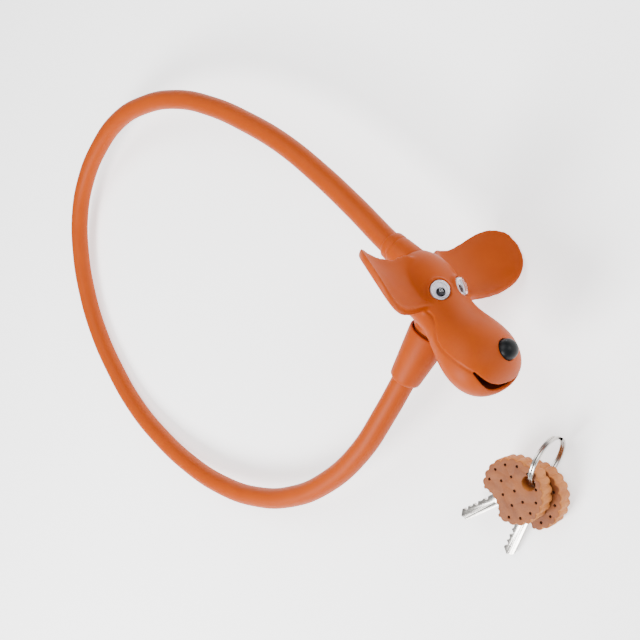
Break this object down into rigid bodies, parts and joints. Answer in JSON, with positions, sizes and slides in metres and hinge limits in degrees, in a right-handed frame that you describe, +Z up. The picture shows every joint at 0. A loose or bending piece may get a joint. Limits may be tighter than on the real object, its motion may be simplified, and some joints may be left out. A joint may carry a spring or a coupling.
{
  "type": "cable lock",
  "caption": "Child's cable lock: soft orange dog's head over a keyed lock body, a stiff sheathed cable loop, and keys with biscuit grips on a split ring.",
  "frame": {"origin": "on the surface that the lock lies on, under the middle of the box round everything but the cable", "axes": "+X towards the dog's nose, level; +Y towards the top of its skull; +Z up, out of its right side"},
  "size_m": [0.4195, 0.263, 0.0973],
  "materials": {
    "silicone_skin": "soft satin orange silicone",
    "silicone_cable": "soft satin orange silicone sheath",
    "silicone_lock": "soft satin orange silicone over a hard core",
    "nose_rubber": "satin black moulding",
    "eye_white": "gloss white",
    "eye_dome": "clear polished dome",
    "pupil_black": "gloss black",
    "seal_rubber": "matte black",
    "zinc": "bead-blasted die casting",
    "steel": "turned and drawn steel",
    "brass": "machined brass",
    "nickel": "nickel plate",
    "biscuit": "moulded biscuit, darker on its faces"
  },
  "bodies": {
    "lock": {"head_skin": "silicone_skin", "ear_left": "silicone_skin", "ear_right": "silicone_skin", "nose": "nose_rubber", "eye_cup_left": "eye_white", "eye_cup_right": "eye_white", "eye_dome_left": "eye_dome", "eye_dome_right": "eye_dome", "neck_housing": "silicone_lock", "seal_ring": "seal_rubber", "lock_body": "zinc", "latch_cover": "zinc", "cover_screw_1": "steel", "cover_screw_2": "steel", "latch_spring": "steel", "escutcheon": "nickel", "rear_collar": "silicone_lock", "fixed_ferrule": "steel", "ferrule_pin": "steel", "cable_sheath": "silicone_cable", "cable_core": "steel"},
    "cable_end": {"release_sleeve": "silicone_lock", "locking_pin": "steel", "pin_ferrule": "steel"},
    "plug": {"key_plug": "brass", "wafer_1": "brass", "wafer_2": "brass", "wafer_3": "brass", "wafer_4": "brass"},
    "latch": {"latch_plate": "steel"},
    "left_pupil": {"pupil_left": "pupil_black"},
    "right_pupil": {"pupil_right": "pupil_black"},
    "key_ring": {"split_ring": "nickel"},
    "key_a": {"key_a_grip": "biscuit", "key_a_blade": "nickel"},
    "key_b": {"key_b_grip": "biscuit", "key_b_blade": "nickel"}
  },
  "joints": [
    {"name": "pin_release", "type": "slide", "parent": "lock", "child": "cable_end", "axis": [0.0044, -0.9896, -0.1437], "range_m": [0, 0.032], "deforming": ["cable_sheath", "cable_core"]},
    {"name": "plug_turn", "type": "hinge", "parent": "lock", "child": "plug", "pos_m": [-0.00445, 0.01495, 0.04306], "axis": [0.9995, 0, 0.0309], "range_deg": [-90, 0]},
    {"name": "latch_slide", "type": "slide", "parent": "lock", "child": "latch", "axis": [0.0306, 0.1438, -0.9891], "range_m": [-0.0028, 0], "deforming": ["latch_spring"]},
    {"name": "left_pupil_roll", "type": "hinge", "parent": "lock", "child": "left_pupil", "pos_m": [-0.02549, 0.03718, 0.04034], "axis": [0.5742, 0.8026, -0.1617], "continuous": true},
    {"name": "right_pupil_roll", "type": "hinge", "parent": "lock", "child": "right_pupil", "pos_m": [-0.02651, 0.03376, 0.05346], "axis": [0.5138, 0.6011, 0.612], "continuous": true},
    {"name": "keys_lift", "type": "slide", "parent": "lock", "child": "key_ring", "axis": [0, 0, 1], "range_m": [0, 0.03]},
    {"name": "key_a_swing", "type": "hinge", "parent": "key_ring", "child": "key_a", "pos_m": [0.05029, -0.01867, 0.01666], "axis": [0.0274, -0.1187, 0.9925], "range_deg": [-45, 45]},
    {"name": "key_b_swing", "type": "hinge", "parent": "key_ring", "child": "key_b", "pos_m": [0.05003, -0.01756, 0.00743], "axis": [0.0274, -0.1187, 0.9925], "range_deg": [-45, 45]}
  ],
  "couplings": [
    {"joint": "latch_slide", "follows": "plug_turn", "m_per_rad": 0.0017189}
  ]
}
